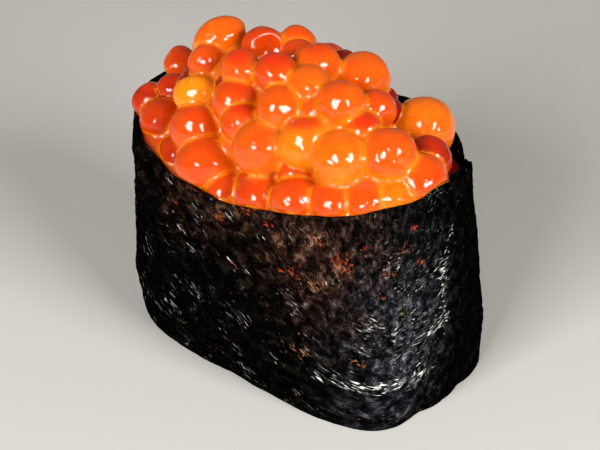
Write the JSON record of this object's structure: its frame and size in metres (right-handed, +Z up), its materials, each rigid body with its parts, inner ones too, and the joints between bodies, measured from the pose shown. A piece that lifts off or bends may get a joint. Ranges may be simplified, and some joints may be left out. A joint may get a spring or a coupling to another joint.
{
  "type": "gunkan sushi",
  "caption": "Gunkan sushi: an oval nori band standing on pressed rice, filled with a heap of salmon roe.",
  "frame": {"origin": "middle of the underside's bounding box, on the surface that the sushi stands on", "axes": "+Z up, long axis of the oval on X, the strip's free end near +X on the +Y side"},
  "size_m": [0.0496, 0.0304, 0.0445],
  "materials": {
    "nori": "glossy toasted seaweed sheet, wrinkled",
    "rice": "moist cooked rice",
    "roe": "wet translucent salmon roe"
  },
  "bodies": {
    "root": {"nori_wrap": "nori", "rice_base": "rice", "roe_heap": "roe"}
  },
  "joints": []
}
